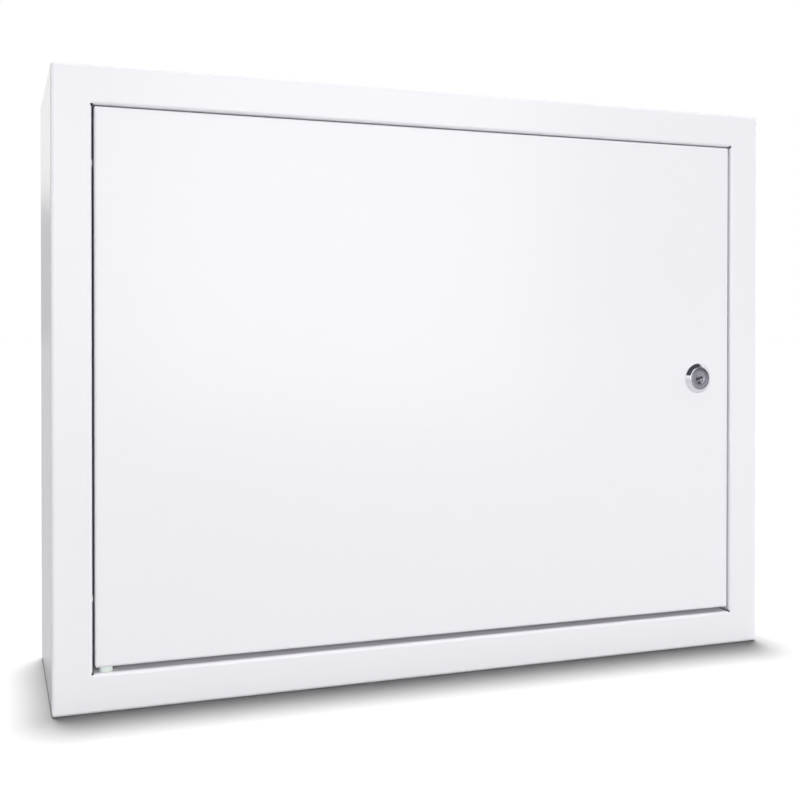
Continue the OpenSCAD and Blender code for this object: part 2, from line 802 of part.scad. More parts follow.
// Turns with the plug; its tab meets the barrel's lug at each end of the throw
module lock_stop_washer() {
    color(zinc) translate([lock_x, barrel_end_y + seat_gap, door_mid_z])
        from_front(stop_t - seat_gap) difference() {
            union() {
                circle(r = barrel_flats / 2 - stop_lug_t - 2 * slide_fit);
                intersection() {
                    circle(r = barrel_flats / 2);
                    translate([-stop_tab_w / 2, -barrel_flats / 2]) square([stop_tab_w, barrel_flats / 2]);
                }
            }
            square(tail_w + 2 * slide_fit, center = true);
        }
}

module lock_cam() {
    boss_r = 9;
    color(zinc) translate([lock_x, cam_y, door_mid_z]) from_front(cam_t) difference() {
        union() {
            circle(boss_r);
            translate([-cam_w / 2, -cam_reach + cam_w / 2]) square([cam_w, cam_reach - cam_w / 2]);
            translate([0, -cam_reach + cam_w / 2]) circle(d = cam_w);
        }
        square(tail_w + 2 * slide_fit, center = true);
    }
}

module cam_spring_washer() {
    color(zinc) translate([lock_x, cam_y + cam_t, door_mid_z]) from_front(cam_washer_t) difference() {
        circle(d = screw_head_d + 1);
        circle(d = screw_d + 0.4);
        rotate(20) translate([0, -0.4]) square([screw_head_d, 0.8]);
    }
}

module cam_screw() {
    shank = cam_washer_t + thread_l - 0.4;
    color(zinc) translate([lock_x, cam_y + cam_t + cam_washer_t, door_mid_z]) difference() {
        union() {
            rotate([-90, 0, 0]) cylinder(d = screw_head_d / cos(30), h = screw_head_h, $fn = 6);
            translate([0, -shank, 0]) rotate([-90, 0, 0]) cylinder(d = screw_d, h = shank + eps);
        }
        translate([0, screw_head_h - 0.6, 0]) rotate([-90, 0, 0]) cylinder(d = 5.4, h = 1);
    }
}

housing();
back_panel();
back_panel_studs();
back_panel_nuts();
mounting_plate();
plate_studs();
plate_spacers();
plate_washers();
plate_nuts();
cable_grommets();
door_buffers();
body_earth_stud();
body_earth_washers();
body_earth_nuts();
lower_pivot_pin();
upper_pivot_bush();
door_panel();
lower_pivot_bush();
upper_pivot_bracket();
upper_pivot_spring();
door_earth_stud();
door_earth_washers();
door_earth_nuts();
lock_barrel();
lock_washer();
lock_nut();
lock_plug();
lock_stop_washer();
lock_cam();
cam_spring_washer();
cam_screw();
upper_pivot_pin();
upper_pivot_clip();
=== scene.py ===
"""Steel wall enclosure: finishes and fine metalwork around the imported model, and its studio.

Places read from the frame, the studio and the camera are in metres. The pieces are drawn in
millimetres. x points to the right, y into the wall and z up.
"""

import json
import math

import bmesh
import bpy
from mathutils import Matrix, Vector

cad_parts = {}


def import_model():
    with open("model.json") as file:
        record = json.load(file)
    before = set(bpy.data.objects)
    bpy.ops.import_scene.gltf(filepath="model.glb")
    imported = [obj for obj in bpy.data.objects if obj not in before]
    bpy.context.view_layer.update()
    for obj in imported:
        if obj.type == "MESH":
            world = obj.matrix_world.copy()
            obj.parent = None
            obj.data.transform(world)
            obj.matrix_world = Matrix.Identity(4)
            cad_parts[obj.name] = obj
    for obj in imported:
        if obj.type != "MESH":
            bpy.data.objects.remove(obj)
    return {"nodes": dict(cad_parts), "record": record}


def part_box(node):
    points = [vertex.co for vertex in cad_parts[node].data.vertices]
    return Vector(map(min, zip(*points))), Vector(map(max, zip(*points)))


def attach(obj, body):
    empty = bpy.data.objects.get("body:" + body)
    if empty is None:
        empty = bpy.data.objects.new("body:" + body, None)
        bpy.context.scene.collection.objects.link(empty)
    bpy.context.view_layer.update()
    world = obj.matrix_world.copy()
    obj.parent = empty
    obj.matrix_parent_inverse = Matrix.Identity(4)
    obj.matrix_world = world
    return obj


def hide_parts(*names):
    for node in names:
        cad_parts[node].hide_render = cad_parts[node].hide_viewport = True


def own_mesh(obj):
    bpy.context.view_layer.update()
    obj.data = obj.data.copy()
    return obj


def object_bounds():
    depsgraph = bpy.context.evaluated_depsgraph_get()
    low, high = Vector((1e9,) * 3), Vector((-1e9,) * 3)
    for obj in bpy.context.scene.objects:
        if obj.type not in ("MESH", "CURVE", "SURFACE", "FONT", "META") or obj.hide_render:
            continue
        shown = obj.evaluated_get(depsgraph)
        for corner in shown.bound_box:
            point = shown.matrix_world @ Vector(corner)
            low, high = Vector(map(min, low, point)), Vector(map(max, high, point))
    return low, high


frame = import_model()
cad_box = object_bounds()
nodes = frame["nodes"]
scene = bpy.context.scene
MM = 0.001
TURN = 2 * math.pi


# ---- Shader building blocks ----

class Tree:
    """Adds nodes to a node tree and wires them by socket name."""

    def __init__(self, tree):
        self.tree = tree

    def add(self, kind, **values):
        node = self.tree.nodes.new("ShaderNode" + kind)
        for name, value in values.items():
            if name in node.bl_rna.properties:
                setattr(node, name, value)
            else:
                self.feed(node, name.replace("_", " "), value)
        return node

    def put(self, value, socket):
        """Links another socket's value to this one, or sets it to a constant."""
        if isinstance(value, bpy.types.NodeSocket):
            self.tree.links.new(value, socket)
        else:
            socket.default_value = value

    def feed(self, node, name, value):
        self.put(value, node.inputs[name])

    def math(self, operation, a, b=0.0, clamp=False):
        node = self.add("Math", operation=operation, use_clamp=clamp)
        self.put(a, node.inputs[0])
        self.put(b, node.inputs[1])
        return node.outputs[0]

    def vector_math(self, operation, *values):
        node = self.add("VectorMath", operation=operation)
        for value, socket in zip(values, node.inputs):
            self.put(value, socket)
        return node

    def swing(self, value, width):
        """A value from 0 to 1 made into a swing of this full width about zero."""
        return self.math("MULTIPLY", self.math("SUBTRACT", value, 0.5), width)

    def map_range(self, value, low, high, to_low=0.0, to_high=1.0):
        node = self.add("MapRange", interpolation_type="SMOOTHSTEP")
        for name, v in (("Value", value), ("From Min", low), ("From Max", high),
                        ("To Min", to_low), ("To Max", to_high)):
            self.feed(node, name, v)
        return node.outputs["Result"]

    def mix(self, factor, a, b, blend="MIX"):
        node = self.add("Mix", data_type="RGBA", blend_type=blend)
        for value, place in ((factor, 0), (a, 6), (b, 7)):
            self.put(value, node.inputs[place])
        return node.outputs[2]

    def relief(self, end, height, strength, distance):
        """Gives the group's Normal from a height."""
        bump = self.add("Bump", Strength=strength, Distance=distance, Height=height)
        self.feed(end, "Normal", bump.outputs[0])


def new_group(name, inputs, outputs):
    """A shader node group with named sockets. Gives its tree, its inputs and its output node."""
    group = bpy.data.node_groups.new(name, "ShaderNodeTree")
    for socket, kind, value in inputs:
        made = group.interface.new_socket(socket, in_out="INPUT", socket_type="NodeSocket" + kind)
        made.default_value = value
    for socket, kind in outputs:
        group.interface.new_socket(socket, in_out="OUTPUT", socket_type="NodeSocket" + kind)
    tree = Tree(group)
    start = group.nodes.new("NodeGroupInput")
    end = group.nodes.new("NodeGroupOutput")
    return tree, start.outputs, end


def rgba(colour):
    return (*colour, 1.0)


SURFACE_OUTPUTS = (("Color", "Color"), ("Roughness", "Float"), ("Normal", "Vector"))


def powder_texture_group():
    """The fine skin of a baked powder coat: a soft orange peel and a faint drift of tone."""
    t, given, out = new_group(
        "powder_texture",
        [("Color", "Color", (0.9, 0.9, 0.9, 1)), ("Tone Drift", "Float", 0.012),
         ("Roughness", "Float", 0.3), ("Roughness Drift", "Float", 0.05),
         ("Peel Size", "Float", 420.0), ("Peel Height", "Float", 0.3)],
        SURFACE_OUTPUTS)
    place = t.add("TexCoord").outputs["Object"]
    drift = t.add("TexNoise", Vector=place, Scale=5.0, Detail=3.0).outputs["Fac"]
    level = t.math("ADD", 1.0, t.swing(drift, given["Tone Drift"]))
    tint = t.vector_math("SCALE", given["Color"])
    t.feed(tint, "Scale", level)
    t.feed(out, "Color", tint.outputs[0])
    speckle = t.add("TexNoise", Vector=place, Scale=60.0, Detail=4.0).outputs["Fac"]
    rough = t.math("ADD", given["Roughness"], t.swing(speckle, given["Roughness Drift"]), clamp=True)
    t.feed(out, "Roughness", rough)
    peel = t.add("TexNoise", Vector=place, Scale=given["Peel Size"], Detail=1.5, Roughness=0.45)
    fine = t.add("TexNoise", Vector=place, Scale=2600.0, Detail=1.0)
    height = t.math("ADD", peel.outputs["Fac"], t.math("MULTIPLY", fine.outputs["Fac"], 0.25))
    t.relief(out, height, given["Peel Height"], 0.00004)
    return t.tree


def plated_metal_group():
    """Drawn and plated metal: a grain along one axis, cloudy plating and painted highlights on its
    edges.
    """
    t, given, out = new_group(
        "plated_metal",
        [("Color", "Color", (0.7, 0.7, 0.72, 1)), ("Cloud Color", "Color", (0.6, 0.62, 0.68, 1)),
         ("Cloud", "Float", 0.5), ("Roughness", "Float", 0.3), ("Grain", "Float", 0.15),
         ("Stretch", "Vector", (1.0, 1.0, 1.0)), ("Edge Shine", "Float", 0.25)],
        SURFACE_OUTPUTS)
    place = t.add("TexCoord").outputs["Object"]
    drawn = t.vector_math("MULTIPLY", place, given["Stretch"]).outputs[0]
    grain = t.add("TexNoise", Vector=drawn, Scale=1800.0, Detail=3.0).outputs["Fac"]
    cloud = t.add("TexNoise", Vector=place, Scale=130.0, Detail=3.0).outputs["Fac"]
    patches = t.math("MULTIPLY", t.map_range(cloud, 0.35, 0.7), given["Cloud"])
    colour = t.mix(patches, given["Color"], given["Cloud Color"])
    # Painted highlight: the colour is whitened where the bevelled normal turns from the face's own,
    # along every edge.
    soft = t.add("Bevel", samples=4, Radius=0.0006).outputs["Normal"]
    flat = t.add("NewGeometry").outputs["Normal"]
    facing = t.vector_math("DOT_PRODUCT", soft, flat).outputs["Value"]
    edge = t.math("MULTIPLY", t.map_range(facing, 0.99, 0.8), given["Edge Shine"])
    t.feed(out, "Color", t.mix(edge, colour, (1, 1, 1, 1)))
    rough = t.math("ADD", given["Roughness"], t.swing(grain, given["Grain"]), clamp=True)
    t.feed(out, "Roughness", rough)
    t.relief(out, grain, 0.15, 0.00003)
    return t.tree


def zinc_spangle_group():
    """The frosty crystals of hot-dip galvanised sheet."""
    t, given, out = new_group(
        "zinc_spangle",
        [("Light Zinc", "Color", (0.66, 0.68, 0.70, 1)),
         ("Dark Zinc", "Color", (0.47, 0.49, 0.52, 1)),
         ("Crystal Size", "Float", 130.0), ("Roughness", "Float", 0.38)],
        SURFACE_OUTPUTS)
    place = t.add("TexCoord").outputs["Object"]
    wobble = t.add("TexNoise", Vector=place, Scale=220.0, Detail=2.0).outputs["Color"]
    shifted = t.vector_math("MULTIPLY_ADD", wobble, (0.006, 0.006, 0.006), place).outputs[0]
    cells = t.add("TexVoronoi", Vector=shifted, Scale=given["Crystal Size"])
    facet = t.add("SeparateColor", Color=cells.outputs["Color"]).outputs[0]
    frost = t.add("TexNoise", Vector=place, Scale=900.0, Detail=4.0).outputs["Fac"]
    tone = t.math("ADD", t.math("MULTIPLY", facet, 0.75), t.math("MULTIPLY", frost, 0.25))
    t.feed(out, "Color", t.mix(tone, given["Dark Zinc"], given["Light Zinc"]))
    t.feed(out, "Roughness", t.math("ADD", given["Roughness"], t.swing(facet, 0.16)))
    t.relief(out, tone, 0.12, 0.00003)
    return t.tree


def moulded_group():
    """Moulded rubber or plastic: a fine matt skin with a little bloom and dust."""
    t, given, out = new_group(
        "moulded_skin",
        [("Color", "Color", (0.04, 0.04, 0.04, 1)), ("Bloom Color", "Color", (0.1, 0.1, 0.1, 1)),
         ("Bloom", "Float", 0.3), ("Roughness", "Float", 0.6), ("Skin", "Float", 0.3)],
        SURFACE_OUTPUTS)
    place = t.add("TexCoord").outputs["Object"]
    cloud = t.add("TexNoise", Vector=place, Scale=160.0, Detail=4.0).outputs["Fac"]
    bloom = t.math("MULTIPLY", t.map_range(cloud, 0.4, 0.75), given["Bloom"])
    t.feed(out, "Color", t.mix(bloom, given["Color"], given["Bloom Color"]))
    skin = t.add("TexNoise", Vector=place, Scale=2400.0, Detail=2.0).outputs["Fac"]
    t.feed(out, "Roughness", t.math("ADD", given["Roughness"], t.swing(skin, 0.15)))
    t.relief(out, skin, given["Skin"], 0.00004)
    return t.tree


GROUPS = {
    "powder": powder_texture_group(),
    "plated": plated_metal_group(),
    "spangle": zinc_spangle_group(),
    "moulded": moulded_group(),
}


def finish_material(name, group, values, metallic=0.0, **shader_values):
    """A material whose colour, roughness and relief come from one of the groups above."""
    material = bpy.data.materials.new(name)
    material.use_nodes = True
    t = Tree(material.node_tree)
    shader = material.node_tree.nodes["Principled BSDF"]
    placed = material.node_tree.nodes.new("ShaderNodeGroup")
    placed.node_tree = GROUPS[group]
    for socket, value in values.items():
        placed.inputs[socket].default_value = value
    for wanted, given in (("Base Color", "Color"), ("Roughness", "Roughness"), ("Normal", "Normal")):
        t.feed(shader, wanted, placed.outputs[given])
    shader.inputs["Metallic"].default_value = metallic
    for socket, value in shader_values.items():
        shader.inputs[socket.replace("_", " ")].default_value = value
    return material


def plated(name, colour, cloud, roughness, stretch=(1, 1, 1), clouding=0.5, grain=0.15, edge=0.25):
    # edge sets how strongly the painted edge highlight whitens the colour.
    return finish_material(name, "plated", {
        "Color": rgba(colour), "Cloud Color": rgba(cloud), "Cloud": clouding, "Roughness": roughness,
        "Grain": grain, "Stretch": stretch, "Edge Shine": edge}, metallic=1.0)


white_powder = finish_material(
    "white_powder_coat", "powder",
    {"Color": (0.890, 0.877, 0.917, 1), "Tone Drift": 0.012, "Roughness": 0.21,
     "Roughness Drift": 0.05, "Peel Size": 420.0, "Peel Height": 0.3})
bright_zinc = plated("bright_zinc", (0.72, 0.74, 0.76), (0.62, 0.66, 0.74), 0.30)
galvanised = finish_material("galvanised_sheet", "spangle", {}, metallic=0.9)
copper_flash = plated("copper_flash", (0.80, 0.50, 0.34), (0.62, 0.36, 0.24), 0.32)
plain_steel = plated("plain_steel", (0.55, 0.56, 0.58), (0.42, 0.43, 0.46), 0.28)
spring_steel = plated("spring_steel", (0.34, 0.35, 0.37), (0.24, 0.24, 0.26), 0.30)
chrome = plated("bright_chrome", (0.83, 0.84, 0.87), (0.78, 0.80, 0.85), 0.07,
                clouding=0.3, grain=0.03)
# Painted shade: the lock face's colour is set darker than its plated metal, standing in for the dark
# reflection on the face.
lock_face = plated("satin_lock_face_painted_dark", (0.40, 0.39, 0.44), (0.34, 0.34, 0.39), 0.22,
                   stretch=(1, 1, 0.1), clouding=0.4, grain=0.12)
black_rubber = finish_material(
    "black_rubber", "moulded",
    {"Color": (0.035, 0.035, 0.038, 1), "Bloom Color": (0.08, 0.08, 0.085, 1), "Roughness": 0.62})
natural_nylon = finish_material(
    "natural_nylon", "moulded",
    {"Color": (0.86, 0.88, 0.82, 1), "Bloom Color": (0.90, 0.91, 0.87, 1), "Roughness": 0.42,
     "Skin": 0.12}, Subsurface_Weight=0.15)

SLOT_MATERIALS = {
    "white_paint": white_powder, "zinc_plate": bright_zinc, "galvanised_sheet": galvanised,
    "copper_flashed_steel": copper_flash, "black_rubber": black_rubber,
    "natural_nylon": natural_nylon, "bright_steel": plain_steel, "spring_steel": spring_steel,
    "chrome_plate": chrome, "lock_face": lock_face,
}
record = frame["record"]
node_slot = {s["node"]: s["material_slot"] for s in record["subparts"]}
node_body = {node: body for body, held in record["behaviour"]["bodies"].items() for node in held}
for name, node in nodes.items():
    node.data.materials.clear()
    node.data.materials.append(SLOT_MATERIALS[node_slot[name]])


# ---- Places and shapes; they are drawn in millimetres and scaled where they are placed ----

def solids(node):
    """The lowest and highest corner of each separate solid of a CAD node, in metres."""
    mesh = nodes[node].data
    places = {}
    spot = [places.setdefault(tuple(round(c, 6) for c in v.co), len(places)) for v in mesh.vertices]
    leader = list(range(len(places)))

    def lead(i):
        while leader[i] != i:
            leader[i] = leader[leader[i]]
            i = leader[i]
        return i

    for face in mesh.polygons:
        for v in face.vertices[1:]:
            leader[lead(spot[v])] = lead(spot[face.vertices[0]])
    groups = {}
    for place, i in places.items():
        groups.setdefault(lead(i), []).append(place)
    return [(Vector([min(c) for c in zip(*g)]), Vector([max(c) for c in zip(*g)]))
            for g in groups.values()]


def looking_front(x, y, z):
    """A place whose X points right, whose Y points up and whose Z points to the viewer."""
    return Matrix.Translation((x, y, z)) @ Matrix.Rotation(math.pi / 2, 4, "X") @ Matrix.Scale(MM, 4)


def looking_back(x, y, z):
    """A place whose Z points into the box, with its Y up."""
    turned_round = Matrix.Rotation(math.pi, 4, "Z") @ Matrix.Rotation(math.pi / 2, 4, "X")
    return Matrix.Translation((x, y, z)) @ turned_round @ Matrix.Scale(MM, 4)


def looking_up(x, y, z):
    """A place whose Z points up."""
    return Matrix.Translation((x, y, z)) @ Matrix.Scale(MM, 4)


def eased(corners, radius, closed=True, steps=3):
    """The same outline with its corners rounded. radius is one for all, or one for each corner."""
    radii = radius if isinstance(radius, list) else [radius] * len(corners)
    points = []
    for i, (corner, r) in enumerate(zip(corners, radii)):
        here = Vector(corner)
        if r == 0 or (not closed and i in (0, len(corners) - 1)):
            points.append(tuple(here))
            continue
        before = Vector(corners[i - 1]) - here
        after = Vector(corners[(i + 1) % len(corners)]) - here
        start = here + before.normalized() * min(r, before.length * 0.48)
        end = here + after.normalized() * min(r, after.length * 0.48)
        for k in range(steps + 1):
            f = k / steps
            points.append(tuple(start * (1 - f) ** 2 + here * (2 * f * (1 - f)) + end * f ** 2))
    return points


def arc(radius, start, end, steps=24):
    """Points of an arc about the origin, its angles in degrees."""
    angles = [math.radians(start + (end - start) * k / steps) for k in range(steps + 1)]
    return [(radius * math.cos(a), radius * math.sin(a)) for a in angles]


def circle(radius, steps=48):
    return arc(radius, 0, 360, steps)[:-1]


def around(bm, place, rows, count=48, closed=False):
    """A skin of rings about the local Z axis. A row is (radius, height), and its radius may be a
    function of the angle. A closed skin joins its last ring to its first; an open one is capped."""
    rings = []
    for radius, height in rows:
        loop = []
        for k in range(count):
            angle = TURN * k / count
            r = radius(angle) if callable(radius) else radius
            point = Vector((r * math.cos(angle), r * math.sin(angle), height))
            loop.append(bm.verts.new(place @ point))
        rings.append(loop)
    pairs = list(zip(rings, rings[1:]))
    if closed:
        pairs.append((rings[-1], rings[0]))
    else:
        bm.faces.new(rings[0])
        bm.faces.new(rings[-1])
    for low, high in pairs:
        for k in range(count):
            n = (k + 1) % count
            bm.faces.new((low[k], low[n], high[n], high[k]))


def ring(bm, place, inner_d, outer_d, low, high, edge=0.2, count=48):
    """A washer or sleeve with eased edges."""
    corners = [(inner_d / 2, low), (outer_d / 2, low), (outer_d / 2, high), (inner_d / 2, high)]
    around(bm, place, eased(corners, edge), count, closed=True)


def thread_rows(radius, low, high, pitch, limit=None, steps=6):
    """Rings of a right-hand thread between two heights, which fades out at both ends. limit gives
    the greatest radius at an angle, where flats cut the thread."""
    depth = 0.55 * pitch

    def ring_radius(z, fade):
        def at(angle):
            valley = abs(2 * ((z / pitch - angle / TURN) % 1) - 1)
            r = radius - depth * fade * valley
            return min(r, limit(angle)) if limit else r
        return at

    count = math.ceil(abs(high - low) / pitch * steps)
    rows = []
    for i in range(count + 1):
        z = low + (high - low) * i / count
        fade = max(0.0, min(1.0, abs(z - low) / pitch, abs(high - z) / pitch))
        rows.append((ring_radius(z, fade), z))
    return rows


def hexagon(across):
    """The radius, by angle, of a hexagon this wide across its flats."""
    def radius(angle):
        return across / 2 / math.cos(angle % (math.pi / 3) - math.pi / 6)
    return radius


def square(across):
    """The radius, by angle, of a square this wide."""
    def radius(angle):
        return across / 2 / max(abs(math.cos(angle)), abs(math.sin(angle)))
    return radius


def chamfered_hexagon(across, depth):
    """A hexagon's outline this deep below a nut's or screw head's face, cut by its chamfer."""
    whole = hexagon(across)
    return lambda angle: min(whole(angle), across * 0.475 + depth * 1.75)


def nut(bm, place, across, height, bore_d, flange_d=0.0, flange_t=0.0):
    """A hexagon nut, chamfered at both ends, with a plain flange if it has one."""
    cut = 0.06 * across
    lead_in = 0.08 * across
    bore = bore_d / 2
    mouth = bore + lead_in / 2
    rows = [(mouth, 0)]
    if flange_d:
        rows += [(flange_d / 2 - 0.12, 0), (flange_d / 2, 0.12), (flange_d / 2, flange_t * 0.55),
                 (flange_d / 2 - 0.15, flange_t * 0.8), (hexagon(across), flange_t + 0.15)]
    else:
        rows += [(chamfered_hexagon(across, cut * k / 3), cut * k / 3) for k in range(4)]
    top = flange_t + height
    rows += [(chamfered_hexagon(across, cut * k / 3), top - cut * k / 3) for k in range(3, -1, -1)]
    rows += [(mouth, top), (bore, top - lead_in / 2), (bore, lead_in / 2)]
    around(bm, place, rows, 72, closed=True)


def stud(bm, place, diameter, length, pitch):
    """A threaded stud with a plain root and a chamfered tip."""
    r = diameter / 2
    rows = [(r, 0), (r, 0.8)]
    rows += thread_rows(r, 0.8, length - 0.7, pitch)
    tip = [(r - 0.1, length - 0.65), (r - 0.6, length), (r - 0.8, length)]
    rows += eased(tip, 0.1, closed=False)
    around(bm, place, rows, 28)


def wire(bm, place, path, radius, sides=12):
    """A round wire along a path, its ends eased."""
    path = [Vector(p) for p in path]
    across = (path[1] - path[0]).orthogonal().normalized()
    rings = []
    for i, point in enumerate(path):
        ahead = (path[min(i + 1, len(path) - 1)] - path[max(i - 1, 0)]).normalized()
        across = (across - ahead * across.dot(ahead)).normalized()
        side = ahead.cross(across)
        r = radius * (0.8 if i in (0, len(path) - 1) else 1.0)
        rings.append([bm.verts.new(place @ (point + (across * x + side * y) * r))
                      for x, y in circle(1, sides)])
    for low, high in zip(rings, rings[1:]):
        for k in range(sides):
            n = (k + 1) % sides
            bm.faces.new((low[k], low[n], high[n], high[k]))
    bm.faces.new(rings[0])
    bm.faces.new(rings[-1])


def pressed(bm, place, outline, holes, thickness, edge=0.15):
    """A pressed part of this outline, its cut edges eased, standing up from local Z 0."""
    curve = bpy.data.curves.new("pressing", "CURVE")
    curve.dimensions = "2D"
    curve.fill_mode = "BOTH"
    curve.extrude = thickness / 2 - edge
    curve.bevel_depth = edge
    curve.bevel_resolution = 2
    curve.offset = -edge
    for loop in (outline, *holes):
        spline = curve.splines.new("POLY")
        spline.points.add(len(loop) - 1)
        for point, (x, y) in zip(spline.points, loop):
            point.co = (x, y, 0, 1)
        spline.use_cyclic_u = True
    shape = bpy.data.objects.new("pressing", curve)
    mesh = bpy.data.meshes.new_from_object(shape)
    mesh.transform(place @ Matrix.Translation((0, 0, thickness / 2)))
    bm.from_mesh(mesh)
    bpy.data.objects.remove(shape)
    bpy.data.curves.remove(curve)
    bpy.data.meshes.remove(mesh)


def finish_piece(name, node, bm, sharp_above=38):
    """Makes the drawn shape into the piece that stands for a CAD node, with the node's finish."""
    bmesh.ops.remove_doubles(bm, verts=bm.verts, dist=1e-7)
    bmesh.ops.recalc_face_normals(bm, faces=bm.faces)
    mesh = bpy.data.meshes.new(name)
    bm.to_mesh(mesh)
    bm.free()
    mesh.polygons.foreach_set("use_smooth", [True] * len(mesh.polygons))
    mesh.set_sharp_from_angle(angle=math.radians(sharp_above))
    mesh.materials.append(SLOT_MATERIALS[node_slot[node]])
    piece = bpy.data.objects.new(name, mesh)
    scene.collection.objects.link(piece)
    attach(piece, node_body[node])
    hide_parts(node)
    return piece


# ---- Lock ----

door_face_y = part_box("door_panel")[0].y
door_back_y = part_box("lock_washer")[0].y
plug_low, plug_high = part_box("lock_plug")
lock_x = (plug_low.x + plug_high.x) / 2
lock_z = (plug_low.z + plug_high.z) / 2
lock_place = looking_front(lock_x, door_face_y, lock_z)
cam_back_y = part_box("lock_cam")[1].y
screw_seat_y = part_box("cam_spring_washer")[1].y
barrel_end = (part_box("lock_stop_washer")[0].y - door_face_y) / MM - 0.1
barrel_across_flats = 16.0
barrel_d = 18.6
barrel_bore_r = 6.28
bezel_r = 11.1
bezel_recess_r = 7.98
face_r = 7.9
plug_r = 6.2
tail_square = 7.0
square_hole_width = 7.2


def flats(angle):
    """The radius of the barrel's two flats, above and below."""
    return barrel_across_flats / 2 / max(abs(math.sin(angle)), 1e-6)


def lock_barrel():
    """A threaded barrel with two flats behind a bevelled bezel, with the stop lug at its end."""
    bm = bmesh.new()
    corners = [(bezel_recess_r, 2.5), (8.4, 2.5), (bezel_r, 0.5), (bezel_r, 0.0), (9.5, 0.0)]
    bezel = eased(corners, [0.12, 0.35, 0.3, 0.12, 0], steps=4)
    thread = thread_rows(barrel_d / 2, -0.1, -barrel_end + 0.5, 1.0, limit=flats, steps=5)
    tail = [(lambda angle: min(8.9, flats(angle)), -barrel_end), (6.5, -barrel_end),
            (barrel_bore_r, -barrel_end + 0.2), (barrel_bore_r, -3.0), (bezel_recess_r, -3.0)]
    around(bm, lock_place, bezel + thread + tail, 120, closed=True)
    lug = arc(8.0, 109.6, 340.4, 40) + arc(6.8, 340.4, 109.6, 40)
    lug_t = 1.1
    lug_end = lock_place @ Matrix.Translation((0, 0, -barrel_end - lug_t))
    turned = lug_end @ Matrix.Rotation(math.pi, 4, "X")
    pressed(bm, turned @ Matrix.Translation((0, 0, -lug_t)), lug, [], lug_t, 0.1)
    return finish_piece("lock_barrel_and_bezel", "lock_barrel", bm)


def cut_key_slot(piece):
    """Cuts the rounded key slot into the plug's face."""
    bm = bmesh.new()
    slot_length, slot_width, slot_depth, slot_tilt = 6.4, 1.7, 11, 18
    half, r = slot_length / 2, slot_width / 2
    right = [(x + half - r, y) for x, y in arc(r, -90, 90, 10)]
    left = [(x - half + r, y) for x, y in arc(r, 90, 270, 10)]
    tilted = lock_place @ Matrix.Rotation(math.radians(slot_tilt), 4, "Z")
    foot = tilted @ Matrix.Translation((0, 0, -slot_depth))
    pressed(bm, foot, right + left, [], slot_depth + 3, 0.01)
    mesh = bpy.data.meshes.new("key_slot_cutter")
    bm.to_mesh(mesh)
    bm.free()
    cutter = bpy.data.objects.new("key_slot_cutter", mesh)
    scene.collection.objects.link(cutter)
    cut = piece.modifiers.new("key_slot", "BOOLEAN")
    cut.operation = "DIFFERENCE"
    cut.solver = "EXACT"
    cut.object = cutter
    whole = piece.evaluated_get(bpy.context.evaluated_depsgraph_get())
    piece.data = bpy.data.meshes.new_from_object(whole)
    piece.modifiers.clear()
    bpy.data.objects.remove(cutter)


def lock_plug():
    """The round face with its dish, and behind it the plug and its square tail."""
    bm = bmesh.new()
    front, dish = 2.25, 0.9
    corners = [(1.6, front - dish), (2.3, front - dish), (3.8, front), (face_r, front),
               (face_r, -2.9), (plug_r, -2.9)]
    face = eased(corners, [0, 0.5, 0.5, 0.25, 0.1, 0], closed=False)
    tail_end = (cam_back_y - door_face_y) / MM
    screw_hole_r = 2.55
    body = [(plug_r, -barrel_end + 0.3), (plug_r - 0.3, -barrel_end),
            (square(tail_square), -barrel_end), (square(tail_square), -tail_end + 0.3),
            (square(tail_square - 0.6), -tail_end), (screw_hole_r, -tail_end),
            (screw_hole_r, -tail_end + 4.5)]
    around(bm, lock_place, face + body, 96)
    piece = finish_piece("lock_plug_with_key_slot", "lock_plug", bm, 30)
    cut_key_slot(piece)
    return piece


def lock_washer():
    """A flat washer with teeth around its rim."""
    bm = bmesh.new()
    teeth = 18
    outline = []
    for k in range(teeth):
        start = 360 * k / teeth
        end = 360 * (k + 1) / teeth
        outline += arc(12.7, start + 2.4, end - 2.4, 4) + arc(11.9, end - 2.2, end + 2.2, 2)
    pressed(bm, looking_back(lock_x, door_back_y, lock_z), outline, [circle(9.4)], 0.8, 0.12)
    return finish_piece("lock_toothed_washer", "lock_washer", bm)


def lock_nut():
    bm = bmesh.new()
    nut(bm, looking_back(lock_x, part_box("lock_nut")[0].y, lock_z), 24.0, 4.0, 18.7)
    return finish_piece("lock_barrel_nut", "lock_nut", bm)


def square_hole(across):
    """The outline of a square hole with eased corners."""
    half = across / 2
    return eased([(-half, -half), (half, -half), (half, half), (-half, half)], 0.4)


def lock_stop_washer():
    """The washer on the plug's square, whose tab meets the barrel's lug at each end of the turn."""
    bm = bmesh.new()
    radius, tab_half, root, tip = 6.6, 2.2, -6.22, -7.9
    half = math.degrees(math.asin(tab_half / radius))
    corners = [(-tab_half, root), (-tab_half, tip), (tab_half, tip), (tab_half, root)]
    outline = arc(radius, -90 + half, 270 - half, 48) + eased(corners, 0.4, closed=False)
    low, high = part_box("lock_stop_washer")
    place = looking_front(lock_x, high.y, lock_z)
    pressed(bm, place, outline, [square_hole(square_hole_width)], (high.y - low.y) / MM, 0.1)
    return finish_piece("lock_stop_washer_with_tab", "lock_stop_washer", bm)


def lock_cam():
    """The flat tongue, hanging from its square hole, with eased edges."""
    bm = bmesh.new()
    reach, half, head_r = 24.0, 7.0, 9
    meet = math.degrees(math.acos(half / head_r))
    tip = [(x, y - reach + half) for x, y in arc(half, 180, 360, 24)]
    outline = arc(head_r, -meet, 180 + meet, 40) + tip
    place = looking_front(lock_x, cam_back_y, lock_z)
    pressed(bm, place, outline, [square_hole(square_hole_width)], 2.0, 0.3)
    return finish_piece("lock_cam_tongue", "lock_cam", bm)


def cam_spring_washer():
    bm = bmesh.new()
    outline = arc(5, 24, 375, 48) + arc(2.7, 372, 27, 48)
    pressed(bm, looking_front(lock_x, screw_seat_y, lock_z), outline, [], 1.2, 0.12)
    return finish_piece("cam_split_washer", "cam_spring_washer", bm)


